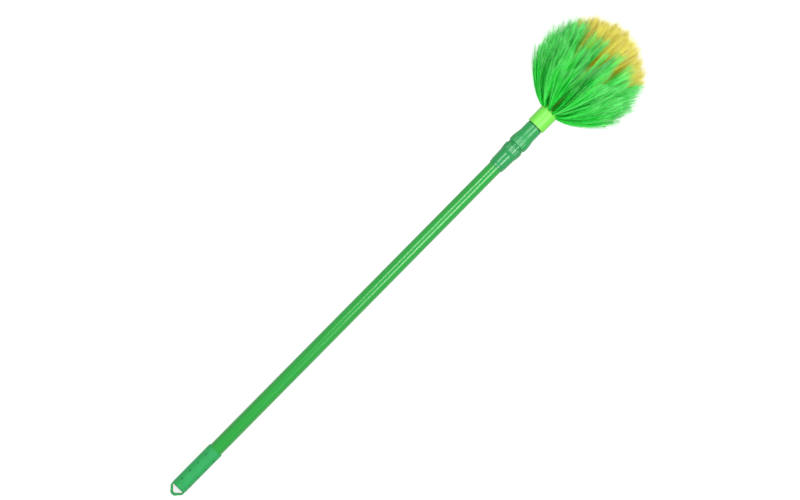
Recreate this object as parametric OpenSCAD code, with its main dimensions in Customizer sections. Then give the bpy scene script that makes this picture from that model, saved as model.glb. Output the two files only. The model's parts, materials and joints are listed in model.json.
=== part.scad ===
// Cobweb brush: a telescopic pole with a grip, a twist lock and a ball of bristles.
// Everything is modelled along the pole, from the loop's tip at height 0 up to the bristles,
// and the finished brush is then laid down on the floor, resting on its grip and its ball.

/* [Pole] */
// Outside diameter of the outer tube
outer_tube_d = 22; // [21:0.5:25]
// Length of the outer tube
outer_tube_len = 690; // [400:2:1200]
// Outside diameter of the inner tube
inner_tube_d = 19; // [17:0.5:19.5]
// Wall of both tubes
tube_wall = 0.5; // [0.3:0.1:0.8]
// Distance from the outer tube's lower end up to the inner tube's lower end
inner_tube_rise = 92; // [40:1:200]
// Length of the guide plug's barrel, which runs inside the outer tube
guide_len = 18; // [10:1:30]
// Depth of the groove round the guide plug's barrel
guide_groove = 0.8; // [0.4:0.1:1.5]

/* [Grip] */
// Wall of the grip round the outer tube
grip_wall = 1.3; // [1.1:0.1:5]
// Length of the grip's round body
grip_len = 78; // [70:1:160]
// Solid plastic between the tube's lower end and the hanging loop
grip_floor = 5; // [3:0.5:12]
// Rounding of the grip's lower edge
grip_edge_r = 1.5; // [0.5:0.1:2.5]
// Diameter of one grip dimple
dimple_d = 4; // [2:0.1:6]
// Depth of one grip dimple
dimple_depth = 0.6; // [0.2:0.05:0.6]
// Number of dimples in a column
dimple_rows = 4; // [2:1:4]
// Number of columns round the grip
dimple_columns = 4; // [3:1:6]
// Distance between dimples in a column
dimple_pitch = 16.7; // [8:0.1:20]

/* [Hanging loop] */
// Length of the loop below the grip's body
loop_len = 14.5; // [12:0.5:30]
// Outside radius of the loop's tip
loop_tip_r = 7; // [6:0.1:8]
// Thickness of the loop's band
loop_band = 2.8; // [2:0.1:4]
// Extra thickness of the band at the loop's tip
loop_tip_extra = 1; // [0:0.1:2]
// Distance below the grip at which the loop starts to narrow
loop_straight = 1.7; // [1:0.1:3]
// Depth of the band at the grip
loop_depth = 11; // [8:0.5:16]
// Depth of the band at its tip
loop_tip_depth = 7; // [5:0.5:8]
// Plastic between the loop's hole and the grip's lower end
loop_web = 1; // [1:0.1:3]

/* [Twist lock] */
// Length of the lock body that shows below the groove
collar_len = 40; // [34:0.5:60]
// Depth to which the outer tube is seated in the lock body
tube_seat = 28; // [15:0.5:30]
// Wall of the lock body's lower lip
collar_wall = 1.4; // [1.2:0.1:2]
// Length of the straight part of that lip
lip_len = 4; // [2:0.5:6]
// How far the lock body swells from its lip to its waist
collar_swell = 1.1; // [0.6:0.1:1.6]
// How far the flare stands out from the waist
collar_flare_rise = 1.35; // [1.1:0.05:3]
// Length of the lock body's flare
collar_flare_len = 15; // [12:0.5:20]
// Width of the groove between the lock body and the nut
groove_w = 4.4; // [2:0.1:8]
// Depth of the groove below the flare
groove_depth = 1.55; // [1:0.05:1.8]
// How far the thread lies below the neck in the groove
thread_step = 1.1; // [0.8:0.1:1.4]
// Length of the lock body's thread
lock_thread_len = 13; // [10:0.5:15]
// Length of the lock nut
nut_len = 38.3; // [34:0.1:50]
// Wall of the nut over the thread
nut_wall = 3; // [2.2:0.1:4]
// How far the nut narrows from its flare to its top
nut_taper = 2.1; // [1:0.1:2.4]
// Length of the nut's flare
nut_flare_len = 18.5; // [17:0.5:22]
// Number of finger flutes on the nut and on the lock body
flute_count = 12; // [8:1:14]
// Diameter of the cutter that a flute follows
flute_d = 6; // [5:0.5:7]
// Depth of a flute at the widest place
flute_depth = 0.5; // [0.3:0.1:1.1]
// Length of the split collet
collet_len = 17; // [14:0.5:19]
// Wall of the collet at its thin ends
collet_wall = 0.8; // [0.6:0.1:0.9]
// Step from the lock body's thread in to the collet's belly
belly_step = 0.9; // [0.8:0.1:1.2]
// Width of the collet's slots
collet_slot_w = 1.6; // [0.8:0.1:2.5]

/* [Threaded tip] */
// Outside diameter of the tip's thread
tip_thread_d = 21; // [20.5:0.5:23]
// Length of the tip's threaded stub
tip_thread_len = 21; // [15:0.5:22]
// How far the tip's flange lies inside the nut's top edge, as a dark seam
flange_recess = 0.9; // [0.5:0.1:1.2]
// Thickness of the flange
flange_t = 1; // [0.8:0.1:2]
// Length of the stem that is pressed into the inner tube
stem_len = 30; // [20:1:50]
// Wall of the hollow tip
tip_wall = 3; // [2:0.1:4]
// Length of the lead-in at the end of the thread
tip_lead = 2; // [1:0.1:3]

/* [Brush socket] */
// Wall of the socket round the tip's thread
socket_wall = 4.2; // [3.8:0.1:6]
// Length of the socket from its mouth up to the dome's equator
socket_len = 28.8; // [28:0.1:40]
// Rounding of the socket's mouth
socket_edge_r = 0.8; // [0.3:0.1:1.2]
// Diameter of a tuft's hole
tuft_hole_d = 3.4; // [3:0.1:3.6]
// Depth of a tuft's hole
tuft_hole_depth = 5; // [4.5:0.1:5.3]
// Thickness of the flat wire that anchors a tuft
anchor_t = 0.5; // [0.3:0.1:0.8]
// Width of the flat wire
anchor_w = 1.4; // [1:0.1:1.8]

/* [Bristle ball] */
// Diameter of the trimmed ball
ball_d = 174; // [150:1:240]
// Height of the ball's centre above the dome's equator
ball_rise = 83; // [66:1:84]
// Number of green tufts in the ring at the socket's rim
rim_tufts = 12; // [9:1:14]
// Number of green tufts in the ring inside it
shoulder_tufts = 12; // [9:1:14]
// Number of yellow tufts in the next ring
crown_tufts = 9; // [6:1:10]
// Number of yellow tufts round the middle one
inner_tufts = 5; // [4:1:6]
// Angle on the dome of the rim ring's holes
rim_hole_angle = 86; // [84:1:88]
// Angle on the ball at which the lowest bristles end
skirt_angle = 116; // [108:1:120]
// Angle on the ball where the rim tufts meet the shoulder tufts
rim_angle = 87; // [82:1:92]
// Angle on the ball where green meets yellow
yellow_angle = 55; // [50:1:60]
// Angle on the ball where the crown tufts meet the inner ones
crown_angle = 36; // [32:1:40]
// Angle on the ball that the middle tuft reaches
middle_angle = 14; // [10:1:18]
// Gap between tufts at the ball's surface
tuft_gap = 1.6; // [1:0.1:3]

/* [Fits] */
// Radial clearance of a sliding or turning fit
running_gap = 0.1; // [0.05:0.01:0.1]
// Radial clearance of a pressed or glued fit
press_gap = 0.04; // [0.02:0.01:0.06]
// Gap between faces of pieces that move apart
face_gap = 0.3; // [0.2:0.05:0.5]

/* [Hidden] */
$fn = 96;
outer_r = outer_tube_d / 2;
outer_bore_r = outer_r - tube_wall;
inner_r = inner_tube_d / 2;
inner_bore_r = inner_r - tube_wall;
grip_r = outer_r + grip_wall;
lip_r = outer_r + collar_wall;
waist_r = lip_r + collar_swell;
collar_flare_r = waist_r + collar_flare_rise;
neck_r = collar_flare_r - groove_depth;
lock_thread_r = neck_r - thread_step;
nut_flare_r = lock_thread_r + nut_wall;
nut_top_r = nut_flare_r - nut_taper;
flange_r = nut_top_r - flange_recess;
tip_thread_r = tip_thread_d / 2;
dome_r = tip_thread_r + running_gap + socket_wall;
ball_r = ball_d / 2;

// Heights along the pole
grip_top = loop_len + grip_len;
tube_bottom = loop_len + grip_floor;
tube_top = tube_bottom + outer_tube_len;
collar_bottom = tube_top - tube_seat;
collar_top = collar_bottom + collar_len;
neck_top = collar_top + groove_w - face_gap;
thread_top = neck_top + lock_thread_len;
nut_bottom = collar_top + groove_w;
nut_top = nut_bottom + nut_len;
flange_bottom = nut_top + face_gap;
flange_top = flange_bottom + flange_t;
inner_bottom = tube_bottom + inner_tube_rise;
socket_bottom = flange_top + face_gap;
rim_z = socket_bottom + socket_len;
ball_z = rim_z + ball_rise;

// The collet's two cones meet at its belly, where the lock body's thread ends.
collet_r = inner_r + running_gap;
belly_r = lock_thread_r - belly_step;
belly_band = 1;
collet_bottom = thread_top - collet_len / 2;
collet_top = collet_bottom + collet_len;
cone_gap = 0.12;

// Flares, each point as its share of the rise and its share of the length
collar_flare = [[0, 0], [0.75, 0.33], [1, 0.55]];
nut_flare = [[1, 0.25], [1, 0.4], [0.65, 0.75], [0.24, 1], [0, 1.2]];

// The loop stays a little inside the grip's round side, and its corners are rounded by the tip's radius.
loop_inset = 0.4;
loop_shoulder = grip_r - loop_inset - loop_tip_r;
chord = 0.98;

// Small edges: chamfers, roundings, and the extra length of a cutter past a face
chamfer = 0.5;
flare_edge = 1.2;
dimple_slope = 0.8;
dimple_turn = 61;
lead_slope = 0.8;
past = 1;

// A tuft fills its hole from above the wire, and is straight until just outside the dome.
tuft_r = tuft_hole_d / 2 - press_gap;
anchor_gap = 0.1;
anchor_play = 0.8;
anchor_len = tuft_hole_d - anchor_play;
tuft_root = dome_r - tuft_hole_depth + anchor_gap + anchor_t + face_gap;
tuft_start = dome_r + face_gap;
tuft_sides = 12;
tuft_steps = 6;

// Rings of tufts, each as count, turn, angle on the dome, first and last angle on the ball, bend.
// The bend is the share of a bristle's length that keeps the direction of its hole.
middle_ring = [1, 0, 0, 0, middle_angle, 0.1];
inner_ring = [inner_tufts, 12, rim_hole_angle / 4, middle_angle, crown_angle, 0.12];
crown_ring = [crown_tufts, -3, rim_hole_angle / 2, crown_angle, yellow_angle, 0.12];
shoulder_ring = [shoulder_tufts, 9, rim_hole_angle * 3 / 4, yellow_angle, rim_angle, 0.15];
rim_ring = [rim_tufts, 20, rim_hole_angle, rim_angle, skirt_angle, 0.32];
rings = [middle_ring, inner_ring, crown_ring, shoulder_ring, rim_ring];
ring_names = ["middle_tuft", "inner_tuft_", "crown_tuft_", "shoulder_tuft_", "rim_tuft_"];
ring_colors = ["gold", "gold", "goldenrod", "limegreen", "mediumseagreen"];
function tuft_name(ring, i) = ring == 0 ? ring_names[0] : str(ring_names[ring], i + 1);

pole_nodes = ["grip", "outer_tube", "lock_body", "lock_collet", "lock_nut"];
slider_nodes = ["inner_tube", "guide_plug", "threaded_tip", "brush_socket", "tuft_anchors"];
tuft_nodes = [for (ring = [0 : 4], i = [0 : rings[ring][0] - 1]) tuft_name(ring, i)];

// Lying down, the pole leans so that the grip's edge and the ball both touch the floor.
rest_z = loop_len + grip_edge_r;
lean_arm = ball_z - rest_z;
lean = asin(ball_r / norm([lean_arm, grip_r])) - atan(grip_r / lean_arm);
floor_lift = grip_r * cos(lean) - rest_z * sin(lean);
half_length = (ball_z * cos(lean) + ball_r) / 2;

module lay_down() {
  translate([-half_length, 0, floor_lift]) rotate([0, 90 - lean, 0]) children();
}

// Points of an arc in a profile, from angle a to angle b.
function arc(centre, r, a, b, steps = 6) =
  [for (i = [0 : steps]) let (at = a + (b - a) * i / steps) centre + r * [cos(at), sin(at)]];

// A profile in radius and height, turned round the pole.
module turned(profile) {
  rotate_extrude() polygon(profile);
}

// Outline of the hanging loop: a triangle with rounded corners, point down, under a straight part.
// Its straight sides run a hair inside the corners' tangents, so that they cross the round corners.
module loop_outline(r, rise = 0) {
  high = loop_len - loop_straight;
  point = [0, loop_tip_r + rise];
  slope = atan2(high - point[1], loop_shoulder);
  side = [sin(slope), -cos(slope)] * r * chord;
  wide = loop_shoulder + r * chord;
  right = [[wide, loop_len + r], [wide, high], [loop_shoulder, high] + side, point + side];
  left = [for (i = [3 : -1 : 0]) [-right[i][0], right[i][1]]];
  polygon(concat(right, left));
  for (x = [-loop_shoulder, loop_shoulder]) translate([x, high]) circle(r);
  translate(point) circle(r);
}

// Side view of the loop: deep at the grip and narrower towards the rounded tip.
module loop_side() {
  deep = loop_depth / 2;
  thin = loop_tip_depth / 2;
  high = loop_len + grip_edge_r;
  polygon([[-deep, high], [-thin * chord, thin], [thin * chord, thin], [deep, high]]);
  translate([0, thin]) circle(thin);
}

module hanging_loop() {
  intersection() {
    rotate([90, 0, 90]) linear_extrude(loop_depth + past, center = true) difference() {
      loop_outline(loop_tip_r);
      intersection() {
        loop_outline(loop_tip_r - loop_band, loop_tip_extra);
        translate([-grip_r, 0]) square([2 * grip_r, loop_len - loop_web]);
      }
    }
    rotate([90, 0, 0]) linear_extrude(2 * grip_r + past, center = true) loop_side();
    cylinder(h = loop_len + grip_edge_r / 2, r = grip_r - loop_inset / 2);
  }
}

module grip_dimples() {
  first = loop_len + (grip_len - (dimple_rows - 1) * dimple_pitch) / 2;
  for (column = [0 : dimple_columns - 1], row = [0 : dimple_rows - 1])
    rotate([0, 0, dimple_turn + column * 360 / dimple_columns])
      translate([grip_r - dimple_depth, 0, first + row * dimple_pitch])
        rotate([0, 90, 0])
          cylinder(h = 2 * dimple_depth, d1 = dimple_d - dimple_slope, d2 = dimple_d + dimple_slope);
}

module grip() {
  bore_r = outer_r + press_gap;
  mouth_r = (grip_r - bore_r) / 2;
  low_edge = arc([grip_r - grip_edge_r, loop_len + grip_edge_r], grip_edge_r, -90, 0);
  mouth = arc([grip_r - mouth_r, grip_top - mouth_r], mouth_r, 0, 90);
  color("mediumseagreen") lay_down() difference() {
    union() {
      turned(concat([[0, loop_len]], low_edge, mouth, [[0, grip_top]]));
      hanging_loop();
    }
    translate([0, 0, tube_bottom - press_gap]) cylinder(h = grip_len, r = bore_r);
    grip_dimples();
  }
}

// A round tube whose lower end is at height z.
module tube(r, length, z) {
  translate([0, 0, z]) difference() {
    cylinder(h = length, r = r);
    translate([0, 0, -past]) cylinder(h = length + 2 * past, r = r - tube_wall);
  }
}

module outer_tube() {
  color("forestgreen") lay_down() tube(outer_r, outer_tube_len, tube_bottom);
}

// Finger flutes: a ring of upright round cutters that only reach the flare.
module flutes(flare_r, z, length) {
  for (i = [0 : flute_count - 1])
    rotate([0, 0, i * 360 / flute_count])
      translate([flare_r + flute_d / 2 - flute_depth, 0, z]) cylinder(h = length, d = flute_d);
}

// Room for the collet: its own outline grown by a gap.
module collet_outline(gap) {
  thin_r = collet_r + collet_wall + gap;
  wide_r = belly_r + gap;
  low = collet_bottom - gap;
  high = collet_top + gap;
  turned([[0, low], [thin_r, low], [wide_r, thread_top - belly_band], [wide_r, thread_top + belly_band],
    [thin_r, high], [0, high]]);
}

// The points of a flare, from its foot at radius r and height z.
function flare_points(flare, r, rise, z, length) = [for (p = flare) [r + p[0] * rise, z + p[1] * length]];

module lock_body() {
  flare_z = collar_top - collar_flare_len;
  lip = [[0, collar_bottom], [lip_r - chamfer, collar_bottom], [lip_r, collar_bottom + chamfer],
    [lip_r, collar_bottom + lip_len], [lip_r + chamfer, collar_bottom + lip_len + 4 * chamfer]];
  flare = flare_points(collar_flare, waist_r, collar_flare_rise, flare_z, collar_flare_len);
  shoulder = arc([collar_flare_r - flare_edge, collar_top - flare_edge], flare_edge, 0, 90, 4);
  thread = [[neck_r, collar_top], [neck_r, neck_top], [lock_thread_r, neck_top],
    [lock_thread_r, thread_top - chamfer], [lock_thread_r - chamfer, thread_top], [0, thread_top]];
  color("seagreen") lay_down() difference() {
    turned(concat(lip, flare, shoulder, thread));
    flutes(collar_flare_r, flare_z, collar_flare_len + past / 4);
    translate([0, 0, collar_bottom - past])
      cylinder(h = tube_seat + past + press_gap, r = outer_r + press_gap);
    translate([0, 0, collar_bottom]) cylinder(h = nut_top, r = inner_r + running_gap);
    collet_outline(cone_gap);
  }
}

module lock_collet() {
  color("gainsboro") lay_down() difference() {
    collet_outline(0);
    translate([0, 0, collet_bottom - past]) cylinder(h = collet_len + 2 * past, r = collet_r);
    for (turn = [0, 90, 180, 270])
      rotate([0, 0, turn])
        translate([0, -collet_slot_w / 2, collet_bottom + (turn == 0 ? -past : collet_len / 4)])
          cube([2 * belly_r, collet_slot_w, collet_len + 2 * past]);
  }
}

module lock_nut() {
  foot_r = nut_flare_r - flare_edge - chamfer / 2;
  foot = arc([foot_r, nut_bottom + flare_edge], flare_edge, -90, 0, 4);
  flare = flare_points(nut_flare, nut_top_r, nut_taper, nut_bottom, nut_flare_len);
  top = arc([nut_top_r - chamfer, nut_top - chamfer], chamfer, 0, 90, 4);
  color("mediumseagreen") lay_down() difference() {
    turned(concat([[0, nut_bottom]], foot, flare, top, [[0, nut_top]]));
    flutes(nut_flare_r, nut_bottom - past, nut_flare_len + past);
    translate([0, 0, nut_bottom - past])
      cylinder(h = lock_thread_len + past + face_gap, r = lock_thread_r + running_gap);
    translate([0, 0, nut_bottom]) cylinder(h = nut_len + past, r = inner_r + face_gap);
    collet_outline(cone_gap);
  }
}

module inner_tube() {
  color("silver") lay_down() tube(inner_r, flange_bottom - inner_bottom, inner_bottom);
}

// Guide plug at the inner tube's lower end: a stem in the tube and a grooved barrel below it.
module guide_plug() {
  barrel_r = outer_bore_r - running_gap;
  stem_r = inner_bore_r - press_gap;
  waist = barrel_r - guide_groove;
  low = inner_bottom - guide_len;
  third = guide_len / 3;
  barrel = [[0, low], [barrel_r - chamfer, low], [barrel_r, low + chamfer], [barrel_r, low + third],
    [waist, low + third], [waist, low + 2 * third], [barrel_r, low + 2 * third], [barrel_r, inner_bottom]];
  stem_top = inner_bottom + guide_len;
  stem = [[stem_r, inner_bottom], [stem_r, stem_top - chamfer], [stem_r - chamfer, stem_top],
    [0, stem_top]];
  color("dimgray") lay_down() turned(concat(barrel, stem));
}

module threaded_tip() {
  stem_r = inner_bore_r - press_gap;
  hollow_r = stem_r - tip_wall;
  stem_bottom = flange_bottom - stem_len;
  stub_top = flange_top + tip_thread_len;
  stem = [[hollow_r, stem_bottom], [stem_r - chamfer, stem_bottom], [stem_r, stem_bottom + chamfer],
    [stem_r, flange_bottom], [flange_r, flange_bottom], [flange_r, flange_top]];
  stub = [[tip_thread_r, flange_top], [tip_thread_r, stub_top - tip_lead],
    [tip_thread_r - tip_lead * lead_slope, stub_top], [0, stub_top], [0, stub_top - tip_wall],
    [hollow_r, stub_top - tip_wall - hollow_r / 2]];
  color("darkgreen") lay_down() turned(concat(stem, stub));
}

// Turns what is drawn along the pole to a place on the dome.
module on_dome(angle, turn) {
  translate([0, 0, rim_z]) rotate([0, 0, turn]) rotate([0, angle, 0]) children();
}

function ring_turn(ring, i) = ring[1] + i * 360 / ring[0];

module brush_socket() {
  mouth = arc([dome_r - socket_edge_r, socket_bottom + socket_edge_r], socket_edge_r, -90, 0, 4);
  color("greenyellow") lay_down() difference() {
    turned(concat([[0, socket_bottom]], mouth, arc([0, rim_z], dome_r, 0, 90, 18)));
    translate([0, 0, socket_bottom - past])
      cylinder(h = tip_thread_len + 2 * past, r = tip_thread_r + running_gap);
    for (ring = rings, i = [0 : ring[0] - 1]) on_dome(ring[2], ring_turn(ring, i))
      translate([0, 0, dome_r - tuft_hole_depth]) cylinder(h = tuft_hole_depth + past, d = tuft_hole_d);
  }
}

// Flat wires on the holes' floors, round which the tufts are folded.
module tuft_anchors() {
  color("silver") lay_down()
    for (ring = rings, i = [0 : ring[0] - 1]) on_dome(ring[2], ring_turn(ring, i))
      translate([-anchor_len / 2, -anchor_w / 2, dome_r - tuft_hole_depth + anchor_gap])
        cube([anchor_len, anchor_w, anchor_t]);
}

// A direction at an angle from the pole, turned round it, and a point of the trimmed ball.
function toward(angle, turn) = [sin(angle) * cos(turn), sin(angle) * sin(turn), cos(angle)];
function ball_point(angle, turn) = [0, 0, ball_z] + ball_r * toward(angle, turn);

// A rounded square's point in the direction a, between -1 and 1 each way.
function soft_square(a) = [cos(a), sin(a)] / pow(pow(cos(a), 4) + pow(sin(a), 4), 0.25);

// Half the gap between two tufts, as an angle on a circle of radius r.
function half_gap(r) = tuft_gap / 2 / r * 180 / PI;

// Where side k of a tuft ends on the ball, at a share of the way out from the tuft's middle.
function tip_point(ring, turn, k, share = 1) =
  let (
    at = soft_square(k * 360 / tuft_sides) * share,
    reach = (ring[4] - ring[3]) / 2 - half_gap(ball_r),
    angle = (ring[3] + ring[4]) / 2 + at[0] * reach,
    spread = 180 / ring[0] - half_gap(ball_r * max(0.1, sin(angle)))
  )
  ring[0] == 1
    ? ball_point((ring[4] - half_gap(ball_r)) * share, k * 360 / tuft_sides)
    : ball_point(angle, turn + at[1] * spread);

// Where side k of a tuft passes its hole, at radius r from the dome's centre.
function root_point(ring, turn, k, r) =
  let (
    a = k * 360 / tuft_sides,
    down = toward(ring[2] + 90, turn),
    across = [-sin(turn), cos(turn), 0]
  )
  [0, 0, rim_z] + r * toward(ring[2], turn) + tuft_r * (cos(a) * down + sin(a) * across);

// A bristle leaves its hole straight and bends towards its end on the ball.
function bristle_point(ring, turn, k, u) =
  let (
    root = root_point(ring, turn, k, tuft_start),
    tip = tip_point(ring, turn, k),
    bend = root + toward(ring[2], turn) * norm(tip - root) * ring[5]
  )
  pow(1 - u, 2) * root + 2 * u * (1 - u) * bend + u * u * tip;

// A tuft: a loft from its round root in the hole to its patch of the trimmed ball.
module tuft(ring, i) {
  turn = ring_turn(ring, i);
  n = tuft_sides;
  rows = concat(
    [[for (k = [0 : n - 1]) root_point(ring, turn, k, tuft_root)]],
    [for (s = [0 : tuft_steps]) [for (k = [0 : n - 1]) bristle_point(ring, turn, k, s / tuft_steps)]],
    [[for (k = [0 : n - 1]) tip_point(ring, turn, k, 0.5)]]
  );
  last = len(rows) - 1;
  sides = [for (row = [0 : last - 1], k = [0 : n - 1])
    let (a = row * n + k, b = row * n + (k + 1) % n) each [[a, a + n, b], [b, a + n, b + n]]];
  root_face = [for (k = [0 : n - 1]) k];
  tip_faces = [for (k = [0 : n - 1]) [last * n + n, last * n + (k + 1) % n, last * n + k]];
  points = concat([for (row = rows) each row], [tip_point(ring, turn, 0, 0)]);
  lay_down() polyhedron(points, concat([root_face], sides, tip_faces));
}

grip();
outer_tube();
lock_body();
lock_collet();
lock_nut();
inner_tube();
guide_plug();
threaded_tip();
brush_socket();
tuft_anchors();
for (ring = [0 : 4], i = [0 : rings[ring][0] - 1])
  color(ring_colors[ring]) tuft(rings[ring], i);
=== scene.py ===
import json
import math

import bmesh
import bpy
from mathutils import Matrix, Vector


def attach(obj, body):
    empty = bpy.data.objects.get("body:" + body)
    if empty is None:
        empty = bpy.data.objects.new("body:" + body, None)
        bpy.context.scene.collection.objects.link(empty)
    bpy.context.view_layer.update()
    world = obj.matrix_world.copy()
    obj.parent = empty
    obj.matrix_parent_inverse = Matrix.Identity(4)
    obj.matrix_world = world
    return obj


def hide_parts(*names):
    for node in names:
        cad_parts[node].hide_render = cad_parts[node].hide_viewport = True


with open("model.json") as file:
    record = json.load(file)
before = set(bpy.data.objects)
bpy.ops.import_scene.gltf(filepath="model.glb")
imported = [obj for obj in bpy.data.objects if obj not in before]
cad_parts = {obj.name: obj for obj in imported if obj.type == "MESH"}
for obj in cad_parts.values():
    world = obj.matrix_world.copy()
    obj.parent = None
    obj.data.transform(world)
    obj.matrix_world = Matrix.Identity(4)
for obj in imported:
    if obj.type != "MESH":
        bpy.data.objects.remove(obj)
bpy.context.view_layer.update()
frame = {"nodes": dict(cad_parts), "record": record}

# The pole's own frame
# Everything on the brush is round the pole, so its pieces are drawn along the pole and then laid
# down with it. Height 0 is the tip of the hanging loop and +z runs up to the bristles; +x is the
# side that faces the floor.
MM = 0.001
grip_mount = next(m for m in frame["record"]["mounts"] if m["name"] == "grip")
grip_middle = 53.5 * MM
along = -Vector(grip_mount["axis"])
across = Vector((0, 1, 0))
floorward = across.cross(along)
loop_tip = Vector(grip_mount["pos_m"]) - along * grip_middle
pole_frame = Matrix.Translation(loop_tip) @ Matrix((floorward, across, along)).transposed().to_4x4()

# Grip
# A sleeve of soft thermoplastic rubber, moulded in one shot with its hanging loop and glued over
# the pole's lower end. Its skin has a fine diamond grain, and thumb marks are sunk along it.
grip_green = "#20ac5a"
grip_shade = "#118c42"
# The colour of the painted shade in the sunk thumb marks
painted_shade_green = "#0a6a30"
grip_r = 12.3 * MM
grain_pitch = 2.4 * MM
grain_turns = 24
grain_depth = 0.12 * MM
mark_turn = math.radians(61)
mark_pitch = 16.7 * MM
first_mark = 28.45 * MM
mark_r = 1.0 * MM
mark_edge = 2.8 * MM
wear_size = 9 * MM


def linear(colour):
    """A colour written as sRGB hex, as linear red, green, blue and alpha."""
    parts = [int(colour[i:i + 2], 16) / 255 for i in (1, 3, 5)]
    return [p / 12.92 if p <= 0.04045 else ((p + 0.055) / 1.055) ** 2.4 for p in parts] + [1.0]


def add(tree, kind, inputs=None, **settings):
    """Adds one node. An input is a value, or another node's output to be linked."""
    made = tree.nodes.new(kind)
    for name, value in settings.items():
        setattr(made, name, value)
    for name, value in (inputs or {}).items():
        if isinstance(value, bpy.types.NodeSocket):
            tree.links.new(value, made.inputs[name])
        else:
            made.inputs[name].default_value = value
    return made


def new_material(name, **sockets):
    """A material with values set on its shader's own sockets, its shader, and pole coordinates."""
    made = bpy.data.materials.new(name)
    made.use_nodes = True
    shader = made.node_tree.nodes["Principled BSDF"]
    for socket, value in sockets.items():
        shader.inputs[socket.replace("_", " ")].default_value = value
    turn = pole_frame.to_3x3().inverted()
    place = add(made.node_tree, "ShaderNodeTexCoord").outputs["Object"]
    place = add(made.node_tree, "ShaderNodeMapping", {
        "Vector": place, "Location": -(turn @ loop_tip), "Rotation": turn.to_euler()})
    return made, made.node_tree, shader, place.outputs["Vector"]


def around(tree, place):
    """Angle round the pole and height along it, as two outputs."""
    parts = add(tree, "ShaderNodeSeparateXYZ", {"Vector": place})
    angle = add(tree, "ShaderNodeMath", {0: parts.outputs["Y"], 1: parts.outputs["X"]},
                operation="ARCTAN2")
    return angle.outputs[0], parts.outputs["Z"]


def paint(node, material):
    """Gives a CAD piece its material, on every slot."""
    for slot in frame["nodes"][node].material_slots:
        slot.material = material


# Moulded rubber: the grain and a slight wear spread its sheen into a broad, soft one
grip_rubber, tree, shader, place = new_material(
    "moulded_grip_rubber", Roughness=0.52, Specular_IOR_Level=0.45)
angle, height = around(tree, place)
waves = []
for way in (1, -1):
    lean = add(tree, "ShaderNodeMath", {0: angle, 1: way * grain_turns}, operation="MULTIPLY")
    rise = add(tree, "ShaderNodeMath", {0: height, 1: 2 * math.pi / grain_pitch, 2: lean.outputs[0]},
               operation="MULTIPLY_ADD")
    waves.append(add(tree, "ShaderNodeMath", {0: rise.outputs[0]}, operation="SINE").outputs[0])
diamond = add(tree, "ShaderNodeMath", {0: waves[0], 1: waves[1]}, operation="MULTIPLY")
mottle = add(tree, "ShaderNodeTexNoise", {"Vector": place, "Scale": 1 / wear_size, "Detail": 3.0})
tint = add(tree, "ShaderNodeMix", {
    0: mottle.outputs["Fac"], "A": linear(grip_shade), "B": linear(grip_green)}, data_type="RGBA")
worn = add(tree, "ShaderNodeMapRange", {
    "Value": mottle.outputs["Fac"], "From Min": 0.3, "From Max": 0.7, "To Min": 0.46, "To Max": 0.6})
bump = add(tree, "ShaderNodeBump", {
    "Height": diamond.outputs[0], "Strength": 0.35, "Distance": grain_depth})

# Painted shade darkens the sunk thumb marks, where shade falls in the recesses: how far a point lies
# from the nearest mark, round and along
mark_half = mark_pitch / 2
turned = add(tree, "ShaderNodeMath", {0: angle, 1: mark_turn}, operation="SUBTRACT")
turned = add(tree, "ShaderNodeMath", {
    0: turned.outputs[0], 1: math.pi / 4, 2: -math.pi / 4}, operation="WRAP")
aside = add(tree, "ShaderNodeMath", {0: turned.outputs[0], 1: grip_r}, operation="MULTIPLY")
risen = add(tree, "ShaderNodeMath", {0: height, 1: first_mark}, operation="SUBTRACT")
risen = add(tree, "ShaderNodeMath", {
    0: risen.outputs[0], 1: mark_half, 2: -mark_half}, operation="WRAP")
apart = add(tree, "ShaderNodeCombineXYZ", {0: aside.outputs[0], 1: risen.outputs[0]})
apart = add(tree, "ShaderNodeVectorMath", {0: apart.outputs[0]}, operation="LENGTH")
painted_shade = add(tree, "ShaderNodeMapRange", {
    "Value": apart.outputs["Value"], "From Min": mark_edge, "From Max": mark_r, "To Max": 0.55})
tint = add(tree, "ShaderNodeMix", {
    0: painted_shade.outputs["Result"], "A": tint.outputs["Result"], "B": linear(painted_shade_green)},
    data_type="RGBA")
tree.links.new(tint.outputs["Result"], shader.inputs["Base Color"])
tree.links.new(worn.outputs["Result"], shader.inputs["Roughness"])
tree.links.new(bump.outputs["Normal"], shader.inputs["Normal"])
paint("grip", grip_rubber)

# Outer tube
# A 22 mm tube of thin steel, roll formed and welded, then enamelled in glossy green. The enamel
# gives two long window-like streaks, softened by the faint haze of a sprayed and baked coat.
tube_green = "#10a032"
tube_deep = "#0a902a"
mottle_size = 5 * MM
enamel, tree, shader, place = new_material(
    "baked_green_enamel", Roughness=0.22, Specular_IOR_Level=0.48)
drawn = add(tree, "ShaderNodeMapping", {"Vector": place, "Scale": (1, 1, 0.06)}, vector_type="POINT")
mottle = add(tree, "ShaderNodeTexNoise", {
    "Vector": drawn.outputs[0], "Scale": 1 / mottle_size, "Detail": 4.0})
tint = add(tree, "ShaderNodeMix", {
    0: mottle.outputs["Fac"], "A": linear(tube_deep), "B": linear(tube_green)}, data_type="RGBA")
haze = add(tree, "ShaderNodeMapRange", {
    "Value": mottle.outputs["Fac"], "From Min": 0.3, "From Max": 0.7, "To Min": 0.2, "To Max": 0.24})
tree.links.new(tint.outputs["Result"], shader.inputs["Base Color"])
tree.links.new(haze.outputs["Result"], shader.inputs["Roughness"])
paint("outer_tube", enamel)

# Lock body, with its thread
# An injection-moulded polypropylene collar, pressed and crimped on the tube's upper end. Its top
# carries the thread that the nut turns on, which shows in the groove under the nut.
collar_top = 721.5 * MM
neck_r = 13.3 * MM
groove = 4.1 * MM
thread_gap = 0.5 * MM
skin_grain = 1.1 * MM
skin_depth = 0.03 * MM
flow_mark = 6 * MM


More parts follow.
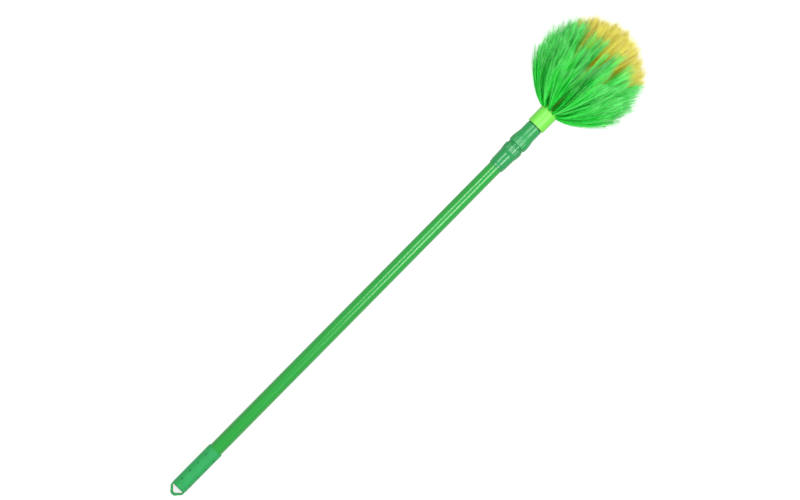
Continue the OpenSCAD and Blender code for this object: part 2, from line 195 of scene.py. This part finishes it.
def moulded(name, colour, shade, roughness):
    """Plastic from a mould: a satin skin with a slight grain, and flow marks drawn along the pole.

    The real grain is finer than a tenth of a millimetre, and is drawn coarser so that it shows.
    """
    made, tree, shader, place = new_material(name, Roughness=roughness)
    flow = add(tree, "ShaderNodeMapping", {"Vector": place, "Scale": (1, 1, 0.25)}, vector_type="POINT")
    cloud = add(tree, "ShaderNodeTexNoise", {
        "Vector": flow.outputs[0], "Scale": 1 / flow_mark, "Detail": 3.0})
    tint = add(tree, "ShaderNodeMix", {
        0: cloud.outputs["Fac"], "A": linear(shade), "B": linear(colour)}, data_type="RGBA")
    skin = add(tree, "ShaderNodeTexNoise", {"Vector": place, "Scale": 1 / skin_grain, "Detail": 2.0})
    bump = add(tree, "ShaderNodeBump", {
        "Height": skin.outputs["Fac"], "Strength": 0.07, "Distance": skin_depth})
    rough = add(tree, "ShaderNodeMapRange", {
        "Value": cloud.outputs["Fac"], "From Min": 0.3, "From Max": 0.7,
        "To Min": roughness - 0.05, "To Max": roughness + 0.05})
    tree.links.new(tint.outputs["Result"], shader.inputs["Base Color"])
    tree.links.new(rough.outputs["Result"], shader.inputs["Roughness"])
    tree.links.new(bump.outputs["Normal"], shader.inputs["Normal"])
    return made


# Polypropylene from a polished mould: the glossiest of the brush's plastics
lock_plastic = moulded("moulded_polypropylene", "#0a944a", "#06843e", 0.25)
paint("lock_body", lock_plastic)

# A thread is one ridge, swept along a helix, that fades in and out over its ends
fade = 0.08
thread_tree = bpy.data.node_groups.new("thread_ridge", "GeometryNodeTree")
face = thread_tree.interface
for name in ("Radius", "Length", "Pitch", "Depth"):
    face.new_socket(name, in_out="INPUT", socket_type="NodeSocketFloat")
face.new_socket("Material", in_out="INPUT", socket_type="NodeSocketMaterial")
face.new_socket("Geometry", in_out="OUTPUT", socket_type="NodeSocketGeometry")
sizes = thread_tree.nodes.new("NodeGroupInput").outputs
turns = add(thread_tree, "ShaderNodeMath", {0: sizes["Length"], 1: sizes["Pitch"]}, operation="DIVIDE")
helix = add(thread_tree, "GeometryNodeCurveSpiral", {
    "Resolution": 48, "Rotations": turns.outputs[0], "Start Radius": sizes["Radius"],
    "End Radius": sizes["Radius"], "Height": sizes["Length"]})
share = thread_tree.nodes.new("GeometryNodeSplineParameter")
off_middle = add(thread_tree, "ShaderNodeMath", {0: share.outputs["Factor"], 1: 0.5},
                 operation="SUBTRACT")
off_middle = add(thread_tree, "ShaderNodeMath", {0: off_middle.outputs[0]}, operation="ABSOLUTE")
lead = add(thread_tree, "ShaderNodeMapRange", {
    "Value": off_middle.outputs[0], "From Min": 0.5, "From Max": 0.5 - fade, "To Min": 0.2})
ridge = add(thread_tree, "GeometryNodeCurvePrimitiveCircle", {
    "Resolution": 6, "Radius": sizes["Depth"]})
swept = add(thread_tree, "GeometryNodeCurveToMesh", {
    "Curve": helix.outputs["Curve"], "Profile Curve": ridge.outputs["Curve"],
    "Scale": lead.outputs["Result"], "Fill Caps": True})
smooth = add(thread_tree, "GeometryNodeSetShadeSmooth", {"Geometry": swept.outputs["Mesh"]})
real = add(thread_tree, "GeometryNodeRealizeInstances", {"Geometry": smooth.outputs[0]})
dressed = add(thread_tree, "GeometryNodeSetMaterial", {
    "Geometry": real.outputs[0], "Material": sizes["Material"]})
add(thread_tree, "NodeGroupOutput", {"Geometry": dressed.outputs[0]})


def grow(name, tree, sizes, height=0.0):
    """Runs a tree on its own, and keeps what it makes as a plain mesh, laid down with the pole."""
    made = bpy.data.objects.new(name, bpy.data.meshes.new(name))
    bpy.context.scene.collection.objects.link(made)
    growth = made.modifiers.new("growth", "NODES")
    growth.node_group = tree
    for item in tree.interface.items_tree:
        if item.in_out == "INPUT":
            growth[item.identifier] = sizes[item.name]
    seen = bpy.context.evaluated_depsgraph_get()
    mesh = bpy.data.meshes.new_from_object(
        made.evaluated_get(seen), preserve_all_data_layers=True, depsgraph=seen)
    made.modifiers.clear()
    made.data = mesh
    mesh.name = name
    mesh.transform(pole_frame @ Matrix.Translation((0, 0, height)))
    return made


neck_thread = grow("lock_body_thread", thread_tree, {
    "Radius": neck_r, "Length": groove - 2 * thread_gap, "Pitch": 1.5 * MM, "Depth": 0.42 * MM,
    "Material": lock_plastic}, collar_top + thread_gap)
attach(neck_thread, "outer_pole")

# Lock collet
# A split ring of natural white nylon, moulded and dropped in between the cones of body and nut. It
# only shows if the lock is cut open. Nylon keeps the mould's fine texture, and so looks evenly satin.
collet_nylon = moulded("moulded_nylon", "#e9e9e2", "#dcdcd2", 0.4)
paint("lock_collet", collet_nylon)

# Lock nut
# The same polypropylene in a lighter batch, from a mould with twelve finger flutes in its flare.
# Hands have dulled it a little.
nut_plastic = moulded("moulded_polypropylene_nut", "#0a984a", "#06883e", 0.33)
paint("lock_nut", nut_plastic)

# Inner tube and its guide plug
# A 19 mm tube of thin steel, zinc plated and left bright, with fine polishing lines round it. A
# black polyethylene plug closes its lower end and guides it in the outer tube.
polish_line = 0.9 * MM
# Bright zinc over drawn steel: light grey, with a highlight that the lines break up. The real lines
# are finer, and are drawn coarser so that they show.
plated_steel, tree, shader, place = new_material("bright_zinc_plate", Metallic=1.0, Roughness=0.3)
fine = add(tree, "ShaderNodeMapping", {"Vector": place, "Scale": (0.08, 0.08, 1)}, vector_type="POINT")
lines = add(tree, "ShaderNodeTexNoise", {
    "Vector": fine.outputs[0], "Scale": 1 / polish_line, "Detail": 3.0})
tint = add(tree, "ShaderNodeMix", {
    0: lines.outputs["Fac"], "A": linear("#a0a4a8"), "B": linear("#c8cbce")}, data_type="RGBA")
rough = add(tree, "ShaderNodeMapRange", {
    "Value": lines.outputs["Fac"], "From Min": 0.3, "From Max": 0.7, "To Min": 0.25, "To Max": 0.35})
tree.links.new(tint.outputs["Result"], shader.inputs["Base Color"])
tree.links.new(rough.outputs["Result"], shader.inputs["Roughness"])
paint("inner_tube", plated_steel)
# Moulded polyethylene has a waxy, nearly matt skin
paint("guide_plug", moulded("black_polyethylene", "#26272a", "#1c1d1f", 0.45))

# Threaded tip
# A dark green polypropylene plug, pressed into the inner tube up to its flange. Its stub has the
# coarse thread of household brush heads, and the flange shows as a dark seam above the nut, its
# darkness painted shade for the gap there.
stem_r = 8.96 * MM
bore_r = 5.96 * MM
stem_z = 734.5 * MM
flange_r = 12.2 * MM
flange_z = 764.5 * MM
flange = 1.0 * MM
core_r = 9.7 * MM
stub_top = 786.5 * MM
lead_in = 0.8 * MM
cap = 3.0 * MM
cone = 3.0 * MM
chamfer = 0.5 * MM
thread_start = 1.3 * MM
tip_outline = (
    (bore_r, stem_z), (stem_r - chamfer, stem_z), (stem_r, stem_z + chamfer), (stem_r, flange_z),
    (flange_r, flange_z), (flange_r, flange_z + flange), (core_r, flange_z + flange),
    (core_r, stub_top - lead_in), (core_r - lead_in, stub_top), (0, stub_top), (0, stub_top - cap),
    (bore_r, stub_top - cap - cone))
tip_sides = 72
# The same plastic from a plain mould, coloured darker as painted shade, so that the flange reads as the
# shaded seam above the nut
tip_plastic = moulded("moulded_tip_polypropylene", "#1d6238", "#16522d", 0.38)
corners = []
for r, z in tip_outline:
    for i in range(tip_sides):
        turn = 2 * math.pi * i / tip_sides
        corners.append(pole_frame @ Vector((r * math.cos(turn), r * math.sin(turn), z)))
walls = []
for k, (r, z) in enumerate(tip_outline):
    if r == 0 and tip_outline[k + 1][0] == 0:
        continue
    low, high = k * tip_sides, (k + 1) % len(tip_outline) * tip_sides
    for i in range(tip_sides):
        n = (i + 1) % tip_sides
        walls.append((low + i, low + n, high + n, high + i))
tip_mesh = bpy.data.meshes.new("threaded_tip_core")
tip_mesh.from_pydata(corners, [], walls)
cleaner = bmesh.new()
cleaner.from_mesh(tip_mesh)
bmesh.ops.remove_doubles(cleaner, verts=cleaner.verts, dist=0.001 * MM)
bmesh.ops.recalc_face_normals(cleaner, faces=cleaner.faces)
cleaner.to_mesh(tip_mesh)
cleaner.free()
tip_mesh.materials.append(tip_plastic)
tip_mesh.shade_smooth()
tip_mesh.set_sharp_from_angle(angle=math.radians(30))
tip_core = bpy.data.objects.new("threaded_tip_core", tip_mesh)
bpy.context.scene.collection.objects.link(tip_core)
tip_thread = grow("threaded_tip_thread", thread_tree, {
    "Radius": core_r, "Length": 17.5 * MM, "Pitch": 3.0 * MM, "Depth": 0.78 * MM,
    "Material": tip_plastic}, flange_z + flange + thread_start)
for piece in (tip_core, tip_thread):
    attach(piece, "inner_pole")
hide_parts("threaded_tip")

# Brush socket and tuft wires
# The head's block, moulded in lime green polypropylene and drilled for the tufts over its dome.
# A flat steel wire in each hole holds the folded tuft. The lime skin is duller than the lock's.
lime_plastic = moulded("moulded_lime_polypropylene", "#78dc4c", "#68cc38", 0.42)
paint("brush_socket", lime_plastic)
# Drawn wire: grey steel with a dulled, slightly blotched surface
wire_steel, tree, shader, place = new_material("drawn_steel_wire", Metallic=1.0, Roughness=0.3)
dull = add(tree, "ShaderNodeTexNoise", {"Vector": place, "Scale": 1 / (1.2 * MM)})
tint = add(tree, "ShaderNodeMix", {
    0: dull.outputs["Fac"], "A": linear("#9fa3a6"), "B": linear("#c4c7c9")}, data_type="RGBA")
tree.links.new(tint.outputs["Result"], shader.inputs["Base Color"])
paint("tuft_anchors", wire_steel)

# Bristles
# Bundles of crimped PVC monofilament, folded at the wire and trimmed to a ball when the head is
# full. Each leaves its hole straight, bends out to its place on the ball, and ends ragged where
# it was trimmed: only a few reach the ball's full radius. Green fills the two outer rings.
rim_z = 794.6 * MM
dome_r = 14.8 * MM
hole_depth = 4.4 * MM
hole_r = 1.55 * MM
ball_z = 877.6 * MM
ball_r = 94.5 * MM
floor_gap = 0.4 * MM
bristle_r = 0.3 * MM
tip_share = 0.4
bristle_points = 7
locks_per_tuft = 34
clumping = 0.88
middle_pull = 0.3
overlap = 1.25
sway = math.radians(2.5)
first_seed = 40
# Every bristle ends short of the ball by a random share of this. The power makes most shares large
ragged = 18 * MM
ragged_power = 0.36
lock_ragged = 4 * MM
# The crimp bows a bristle nearly from its root on, the hook only near its tip
crimp = 2.2 * MM
crimp_power = 1.3
hook = 2.5 * MM
hook_power = 5.0
# How the tone is mixed: a bristle's own in its lock's, and then the streaks round the ball
own_tone = 0.3
streak_tone = 0.6
streak_count = 140
streak_low, streak_high = 0.37, 0.63


def bristle_material(name, root, tones, tip):
    """Filament drawn from PVC: deeper at the root, streaked in its own tones, paler where it splits.

    Its weak glow stands for the light that the filaments pass on to each other.
    """
    made, tree, shader, place = new_material(
        name, Roughness=0.5, Specular_IOR_Level=0.12, Emission_Strength=0.07)
    reach = add(tree, "ShaderNodeAttribute", {}, attribute_name="reach").outputs["Fac"]
    tone = add(tree, "ShaderNodeAttribute", {}, attribute_name="tone").outputs["Fac"]
    ramp = add(tree, "ShaderNodeValToRGB", {"Fac": tone})
    ramp.color_ramp.elements.new(0.5)
    for spot, share, colour in zip(ramp.color_ramp.elements, (0.2, 0.45, 0.85), tones):
        spot.position = share
        spot.color = linear(colour)
    rise = add(tree, "ShaderNodeMapRange", {"Value": reach, "From Min": 0.05, "From Max": 0.4})
    shade = add(tree, "ShaderNodeMix", {
        0: rise.outputs["Result"], "A": linear(root), "B": ramp.outputs["Color"]}, data_type="RGBA")
    split = add(tree, "ShaderNodeMapRange", {
        "Value": reach, "From Min": 0.85, "From Max": 1.0, "To Max": 0.42})
    shade = add(tree, "ShaderNodeMix", {
        0: split.outputs["Result"], "A": shade.outputs["Result"], "B": linear(tip)}, data_type="RGBA")
    tree.links.new(shade.outputs["Result"], shader.inputs["Base Color"])
    tree.links.new(shade.outputs["Result"], shader.inputs["Emission Color"])
    return made


green_bristle = bristle_material(
    "green_pvc_filament", "#18da3a", ("#065a1a", "#26fa46", "#72ff82"), "#a8ffb0")
yellow_bristle = bristle_material(
    "yellow_pvc_filament", "#c8a020", ("#9c7810", "#f8ec14", "#fbf860"), "#fffab0")

bristle_tree = bpy.data.node_groups.new("bristle_ring", "GeometryNodeTree")
face = bristle_tree.interface
for name in ("Tufts", "Bristles per Tuft", "Points per Bristle", "Locks per Tuft", "Seed"):
    face.new_socket(name, in_out="INPUT", socket_type="NodeSocketInt")
for name in ("First Turn", "Hole Angle", "First Angle", "Last Angle", "Bend", "Turn Spread",
             "Angle Spread", "Clumping", "Tuft Sway", "Root Radius", "Hole Radius", "Rim Height",
             "Ball Radius", "Ball Height", "Ragged", "Lock Ragged", "Crimp", "Hook",
             "Floor Rise", "Floor Slope", "Bristle Radius", "Tip Share", "Streaks"):
    face.new_socket(name, in_out="INPUT", socket_type="NodeSocketFloat")
face.new_socket("Material", in_out="INPUT", socket_type="NodeSocketMaterial")
face.new_socket("Geometry", in_out="OUTPUT", socket_type="NodeSocketGeometry")
t = bristle_tree
sizes = t.nodes.new("NodeGroupInput").outputs

# Which bristle, tuft and lock a point belongs to, and how far along its bristle it lies
per_tuft = add(t, "FunctionNodeIntegerMath", {
    0: sizes["Bristles per Tuft"], 1: sizes["Points per Bristle"]}, operation="MULTIPLY")
total = add(t, "FunctionNodeIntegerMath", {0: per_tuft.outputs[0], 1: sizes["Tufts"]},
            operation="MULTIPLY")
index = t.nodes.new("GeometryNodeInputIndex").outputs["Index"]
bristle = add(t, "FunctionNodeIntegerMath", {0: index, 1: sizes["Points per Bristle"]},
              operation="DIVIDE_FLOOR").outputs[0]
step = add(t, "FunctionNodeIntegerMath", {0: index, 1: sizes["Points per Bristle"]},
           operation="MODULO").outputs[0]
last = add(t, "FunctionNodeIntegerMath", {0: sizes["Points per Bristle"], 1: 1},
           operation="SUBTRACT").outputs[0]
reach = add(t, "ShaderNodeMath", {0: step, 1: last}, operation="DIVIDE").outputs[0]
tuft = add(t, "FunctionNodeIntegerMath", {0: bristle, 1: sizes["Bristles per Tuft"]},
           operation="DIVIDE_FLOOR").outputs[0]
lock_count = add(t, "FunctionNodeIntegerMath", {0: sizes["Locks per Tuft"], 1: 1}, operation="SUBTRACT")
lock = add(t, "FunctionNodeRandomValue", {
    5: lock_count.outputs[0], "ID": bristle, "Seed": sizes["Seed"]}, data_type="INT").outputs[2]
lock = add(t, "FunctionNodeIntegerMath", {0: tuft, 1: sizes["Locks per Tuft"], 2: lock},
           operation="MULTIPLY_ADD").outputs[0]


def draw(salt, who, low=(-1, -1, -1), high=(1, 1, 1)):
    """Three random numbers for each bristle, lock or tuft."""
    seed = add(t, "FunctionNodeIntegerMath", {0: sizes["Seed"], 1: salt}, operation="ADD")
    return add(t, "FunctionNodeRandomValue", {
        0: low, 1: high, "ID": who, "Seed": seed.outputs[0]}, data_type="FLOAT_VECTOR").outputs[0]


# Where it stands in its tuft: -1 to 1 down the ball and round it, drawn towards its lock's middle
own = draw(1, bristle)
heart = draw(2, lock)
stand = add(t, "ShaderNodeMix", {0: sizes["Clumping"], 4: own, 5: heart}, data_type="VECTOR").outputs[1]
stand = add(t, "ShaderNodeSeparateXYZ", {0: stand}).outputs
swayed = add(t, "ShaderNodeVectorMath", {0: draw(3, tuft), "Scale": sizes["Tuft Sway"]},
             operation="SCALE").outputs[0]
swayed = add(t, "ShaderNodeSeparateXYZ", {0: swayed}).outputs

# The turn of its tuft, and the angles of its tip on the ball: denser towards the tuft's middle
pitch = add(t, "ShaderNodeMath", {0: 2 * math.pi, 1: sizes["Tufts"]}, operation="DIVIDE").outputs[0]
turn = add(t, "ShaderNodeMath", {0: tuft, 1: pitch, 2: sizes["First Turn"]},
           operation="MULTIPLY_ADD").outputs[0]
wide = add(t, "ShaderNodeMath", {0: pitch, 1: sizes["Turn Spread"]}, operation="MULTIPLY").outputs[0]
wide = add(t, "ShaderNodeMath", {0: wide, 1: 0.5}, operation="MULTIPLY").outputs[0]
dense = add(t, "ShaderNodeMath", {0: stand["Y"]}, operation="ABSOLUTE").outputs[0]
dense = add(t, "ShaderNodeMath", {0: dense, 1: middle_pull}, operation="POWER").outputs[0]
dense = add(t, "ShaderNodeMath", {0: dense, 1: stand["Y"]}, operation="MULTIPLY").outputs[0]
tip_turn = add(t, "ShaderNodeMath", {0: dense, 1: wide, 2: turn}, operation="MULTIPLY_ADD").outputs[0]
tip_turn = add(t, "ShaderNodeMath", {0: tip_turn, 1: swayed["Y"]}, operation="ADD").outputs[0]
middle = add(t, "ShaderNodeMath", {0: sizes["First Angle"], 1: sizes["Last Angle"]},
             operation="ADD").outputs[0]
middle = add(t, "ShaderNodeMath", {0: middle, 1: 0.5}, operation="MULTIPLY").outputs[0]
tall = add(t, "ShaderNodeMath", {0: sizes["Last Angle"], 1: sizes["First Angle"]},
           operation="SUBTRACT").outputs[0]
tall = add(t, "ShaderNodeMath", {0: tall, 1: sizes["Angle Spread"]}, operation="MULTIPLY").outputs[0]
tall = add(t, "ShaderNodeMath", {0: tall, 1: 0.5}, operation="MULTIPLY").outputs[0]
tip_angle = add(t, "ShaderNodeMath", {0: stand["X"], 1: tall, 2: middle},
                operation="MULTIPLY_ADD").outputs[0]
tip_angle = add(t, "ShaderNodeMath", {0: tip_angle, 1: swayed["X"]}, operation="ADD").outputs[0]


def swing(vector, angle, turn):
    """A vector leaned from the pole by an angle, then turned round the pole."""
    leaned = add(t, "ShaderNodeVectorRotate", {"Vector": vector, "Angle": angle},
                 rotation_type="Y_AXIS")
    return add(t, "ShaderNodeVectorRotate", {"Vector": leaned.outputs[0], "Angle": turn},
               rotation_type="Z_AXIS").outputs[0]


# Root in the hole, tip on the ball, and the bend between them
offset_x = add(t, "ShaderNodeMath", {0: stand["X"], 1: sizes["Hole Radius"]},
               operation="MULTIPLY").outputs[0]
offset_y = add(t, "ShaderNodeMath", {0: stand["Y"], 1: sizes["Hole Radius"]},
               operation="MULTIPLY").outputs[0]
in_hole = add(t, "ShaderNodeCombineXYZ", {0: offset_x, 1: offset_y, 2: sizes["Root Radius"]}).outputs[0]
rim = add(t, "ShaderNodeCombineXYZ", {2: sizes["Rim Height"]}).outputs[0]
root = add(t, "ShaderNodeVectorMath", {0: swing(in_hole, sizes["Hole Angle"], turn), 1: rim},
           operation="ADD").outputs[0]
fringe = add(t, "ShaderNodeSeparateXYZ", {0: draw(4, bristle, (0, 0, 0))}).outputs
lock_fringe = add(t, "ShaderNodeSeparateXYZ", {0: draw(5, lock, (0, 0, 0))}).outputs
cut = add(t, "ShaderNodeMath", {0: fringe["X"], 1: ragged_power}, operation="POWER").outputs[0]
cut = add(t, "ShaderNodeMath", {0: cut, 1: sizes["Ragged"]}, operation="MULTIPLY").outputs[0]
cut = add(t, "ShaderNodeMath", {0: lock_fringe["X"], 1: sizes["Lock Ragged"], 2: cut},
          operation="MULTIPLY_ADD").outputs[0]
trimmed = add(t, "ShaderNodeMath", {0: sizes["Ball Radius"], 1: cut}, operation="SUBTRACT").outputs[0]
outward = add(t, "ShaderNodeCombineXYZ", {2: trimmed}).outputs[0]
ball = add(t, "ShaderNodeCombineXYZ", {2: sizes["Ball Height"]}).outputs[0]
tip = add(t, "ShaderNodeVectorMath", {0: swing(outward, tip_angle, tip_turn), 1: ball},
          operation="ADD").outputs[0]
length = add(t, "ShaderNodeVectorMath", {0: tip, 1: root}, operation="DISTANCE").outputs["Value"]
straight = add(t, "ShaderNodeMath", {0: length, 1: sizes["Bend"]}, operation="MULTIPLY").outputs[0]
way_out = add(t, "ShaderNodeCombineXYZ", {2: straight}).outputs[0]
bend = add(t, "ShaderNodeVectorMath", {0: swing(way_out, sizes["Hole Angle"], turn), 1: root},
           operation="ADD").outputs[0]
first = add(t, "ShaderNodeMix", {0: reach, 4: root, 5: bend}, data_type="VECTOR").outputs[1]
second = add(t, "ShaderNodeMix", {0: reach, 4: bend, 5: tip}, data_type="VECTOR").outputs[1]
route = add(t, "ShaderNodeMix", {0: reach, 4: first, 5: second}, data_type="VECTOR").outputs[1]

# The crimp bows each bristle a little sideways, and its lock hooks over at the tip
for power, size, drawn in ((crimp_power, "Crimp", draw(6, bristle)),
                           (hook_power, "Hook", draw(7, lock))):
    bow = add(t, "ShaderNodeMath", {0: reach, 1: power}, operation="POWER").outputs[0]
    bow = add(t, "ShaderNodeMath", {0: bow, 1: sizes[size]}, operation="MULTIPLY").outputs[0]
    wave = add(t, "ShaderNodeVectorMath", {0: drawn, "Scale": bow}, operation="SCALE").outputs[0]
    route = add(t, "ShaderNodeVectorMath", {0: route, 1: wave}, operation="ADD").outputs[0]

# The lowest bristles bend where they meet the floor
parts = add(t, "ShaderNodeSeparateXYZ", {0: route}).outputs
floor_x = add(t, "ShaderNodeMath", {0: parts["Z"], 1: sizes["Floor Slope"], 2: sizes["Floor Rise"]},
              operation="MULTIPLY_ADD").outputs[0]
above = add(t, "ShaderNodeMath", {0: parts["X"], 1: floor_x}, operation="MINIMUM").outputs[0]
route = add(t, "ShaderNodeCombineXYZ", {0: above, 1: parts["Y"], 2: parts["Z"]}).outputs[0]

points = add(t, "GeometryNodePoints", {"Count": total.outputs[0], "Position": route}).outputs[0]

# Most of a bristle's tone goes with its turn, so that light and dark streaks run on from the socket
# to the tips, and the rest is its lock's and its own
tone = add(t, "ShaderNodeMix", {0: own_tone, "A": lock_fringe["Y"], "B": fringe["Z"]}).outputs["Result"]
streak = add(t, "ShaderNodeMath", {0: tip_turn, 1: 2 * math.pi}, operation="DIVIDE").outputs[0]
streak = add(t, "ShaderNodeMath", {0: streak, 1: sizes["Streaks"]}, operation="MULTIPLY").outputs[0]
streak = add(t, "ShaderNodeTexNoise", {"W": streak, "Scale": 1.0, "Detail": 3.0},
             noise_dimensions="1D")
streak = add(t, "ShaderNodeMapRange", {
    "Value": streak.outputs["Fac"], "From Min": streak_low, "From Max": streak_high})
tone = add(t, "ShaderNodeMix", {
    0: streak_tone, "A": tone, "B": streak.outputs["Result"]}).outputs["Result"]
for name, value in (("reach", reach), ("tone", tone)):
    points = add(t, "GeometryNodeStoreNamedAttribute", {
        "Geometry": points, "Name": name, "Value": value}, data_type="FLOAT", domain="POINT").outputs[0]
strands = add(t, "GeometryNodePointsToCurves", {
    "Points": points, "Curve Group ID": bristle, "Weight": step})
end_share = t.nodes.new("GeometryNodeSplineParameter").outputs["Factor"]
taper = add(t, "ShaderNodeMapRange", {
    "Value": end_share, "To Min": 1.0, "To Max": sizes["Tip Share"]})
section = add(t, "GeometryNodeCurvePrimitiveCircle", {
    "Resolution": 3, "Radius": sizes["Bristle Radius"]})
swept = add(t, "GeometryNodeCurveToMesh", {
    "Curve": strands.outputs[0], "Profile Curve": section.outputs["Curve"],
    "Scale": taper.outputs["Result"], "Fill Caps": True})
smooth = add(t, "GeometryNodeSetShadeSmooth", {"Geometry": swept.outputs["Mesh"]})
real = add(t, "GeometryNodeRealizeInstances", {"Geometry": smooth.outputs[0]})
dressed = add(t, "GeometryNodeSetMaterial", {
    "Geometry": real.outputs[0], "Material": sizes["Material"]})
add(t, "NodeGroupOutput", {"Geometry": dressed.outputs[0]})

# Each ring's tufts, turn, hole angle, first and last angle on the ball, share of a bristle's length
# that runs straight out of its hole, bristles in a tuft, and spread of a tuft round the ball
rings = {
    "middle": (1, 0, 0, 0, 14, 0.1, 460, 1.2),
    "inner": (5, 12, 21.5, 14, 36, 0.12, 480, 1.5),
    "crown": (9, -3, 43, 36, 55, 0.12, 480, 1.4),
    "shoulder": (12, 9, 64.5, 55, 87, 0.15, 430, 0.85),
    "rim": (12, 20, 86, 87, 116, 0.32, 430, 1.5),
}
for order, (ring, values) in enumerate(rings.items()):
    tufts, turned, hole, first_angle, last_angle, bending, count, spread = values
    colour = "green_bristle" if ring in ("shoulder", "rim") else "yellow_bristle"
    filament = green_bristle if colour == "green_bristle" else yellow_bristle
    bristles = grow(ring + "_bristles", bristle_tree, {
        "Tufts": tufts, "Bristles per Tuft": count, "Points per Bristle": bristle_points,
        "Locks per Tuft": locks_per_tuft, "Seed": first_seed + 10 * order,
        "First Turn": math.radians(turned), "Hole Angle": math.radians(hole),
        "First Angle": math.radians(first_angle), "Last Angle": math.radians(last_angle),
        "Bend": bending, "Turn Spread": spread, "Angle Spread": overlap, "Clumping": clumping,
        "Tuft Sway": sway, "Root Radius": dome_r - hole_depth, "Hole Radius": hole_r,
        "Rim Height": rim_z, "Ball Radius": ball_r, "Ball Height": ball_z, "Ragged": ragged,
        "Lock Ragged": lock_ragged, "Crimp": crimp, "Hook": hook, "Bristle Radius": bristle_r,
        "Tip Share": tip_share, "Streaks": streak_count,
        "Floor Rise": (loop_tip.z - floor_gap) / -floorward.z,
        "Floor Slope": along.z / -floorward.z, "Material": filament})
    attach(bristles, "brush_head")
    names = [n for n in frame["nodes"] if n.startswith(ring + "_tuft")]
    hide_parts(*names)

# Studio
# The camera looks straight down at the pole, rolled so that the pole runs from the lower left to
# the upper right. Two soft boxes above the pole give it its two streaks.
pixel = 1.481 * MM
image_w = 800
sensor_w = 36
focal_pixels = 2200
camera_distance = focal_pixels * pixel
seen_height = 494.6 * MM
seen_aside = 13.9 * MM
pole_right, pole_up = 0.70303, 0.71116
right = pole_right * along - pole_up * across
up = pole_up * along + pole_right * across
back = right.cross(up)
target = loop_tip + along * seen_height + across * seen_aside
camera = bpy.data.objects.new("camera", bpy.data.cameras.new("camera"))
bpy.context.scene.collection.objects.link(camera)
camera.data.sensor_width = sensor_w
camera.data.lens = sensor_w * focal_pixels / image_w
camera.data.clip_end = 50
camera.matrix_world = Matrix.Translation(target + back * camera_distance) @ Matrix(
    (right, up, back)).transposed().to_4x4()
bpy.context.scene.camera = camera


def soft_box(name, centre, aim, size, power):
    """A rectangular soft box with its long side along the pole."""
    lamp = bpy.data.lights.new(name, "AREA")
    lamp.shape = "RECTANGLE"
    lamp.size, lamp.size_y = size
    lamp.energy = power
    made = bpy.data.objects.new(name, lamp)
    bpy.context.scene.collection.objects.link(made)
    face_back = (centre - aim).normalized()
    side = along - along.dot(face_back) * face_back
    side.normalize()
    made.matrix_world = Matrix.Translation(centre) @ Matrix(
        (side, face_back.cross(side), face_back)).transposed().to_4x4()


# Each box's place aside of the pole, its width in metres, and its watts. Both stand half a metre
# on towards the head, so that the streaks fade down to the grip.
lamps = {"left_box": (0.85, 0.3, 22), "right_box": (-1.1, 0.6, 33)}
lamp_length = 1.3
lamp_height = 1.9
lamp_shift = 0.5
lamp_middle = target + along * lamp_shift
for name, (aside, wide, power) in lamps.items():
    centre = lamp_middle + back * lamp_height + across * aside
    soft_box(name, centre, lamp_middle, (lamp_length, wide), power)


def seen_directly(tree):
    """1 for what the camera sees, also in a reflection or through glass, and 0 for other light."""
    path = tree.nodes.new("ShaderNodeLightPath").outputs
    seen = add(tree, "ShaderNodeMath", {0: path["Is Camera Ray"], 1: path["Is Glossy Ray"]},
               operation="MAXIMUM")
    return add(tree, "ShaderNodeMath", {0: seen.outputs[0], 1: path["Is Transmission Ray"]},
               operation="MAXIMUM").outputs[0]


# The world lights the brush at one level, and is seen as white
world_light = 0.5
world = bpy.data.worlds.new("studio")
bpy.context.scene.world = world
world.use_nodes = True
tree = world.node_tree
sky = tree.nodes["Background"]
strength = add(tree, "ShaderNodeMapRange", {"Value": seen_directly(tree), "To Min": world_light})
sky.inputs["Color"].default_value = (1, 1, 1, 1)
tree.links.new(strength.outputs["Result"], sky.inputs["Strength"])

# A sweep of white paper. Its own tone is a plain grey, which takes the brush's shadow, and it glows
# just enough to be seen as white.
paper_grey = "#a6a6a6"
near_glow, far_glow = 0.72, 0.86
glow_from, glow_to = 0.8, 3.0
half = 12.0
floor_mesh = bpy.data.meshes.new("floor")
floor_mesh.from_pydata(
    [(-half, -half, 0), (half, -half, 0), (half, half, 0), (-half, half, 0)], [], [(0, 1, 2, 3)])
floor = bpy.data.objects.new("floor", floor_mesh)
bpy.context.scene.collection.objects.link(floor)
paper = bpy.data.materials.new("white_paper_sweep")
paper.use_nodes = True
tree = paper.node_tree
tree.nodes.clear()
matt = add(tree, "ShaderNodeBsdfDiffuse", {"Color": linear(paper_grey)})
# Away from the lamps the paper glows a little more, so that it stays white up to the horizon
place = add(tree, "ShaderNodeTexCoord").outputs["Object"]
away = add(tree, "ShaderNodeVectorMath", {0: place}, operation="LENGTH")
needed = add(tree, "ShaderNodeMapRange", {
    "Value": away.outputs["Value"], "From Min": glow_from, "From Max": glow_to,
    "To Min": near_glow, "To Max": far_glow})
white = add(tree, "ShaderNodeMath", {0: seen_directly(tree), 1: needed.outputs["Result"]},
            operation="MULTIPLY")
glow = add(tree, "ShaderNodeEmission", {"Color": (1, 1, 1, 1), "Strength": white.outputs[0]})
lit = add(tree, "ShaderNodeAddShader", {0: matt.outputs[0], 1: glow.outputs[0]})
add(tree, "ShaderNodeOutputMaterial", {"Surface": lit.outputs[0]})
floor_mesh.materials.append(paper)

view = bpy.context.scene.view_settings
view.view_transform = "Standard"
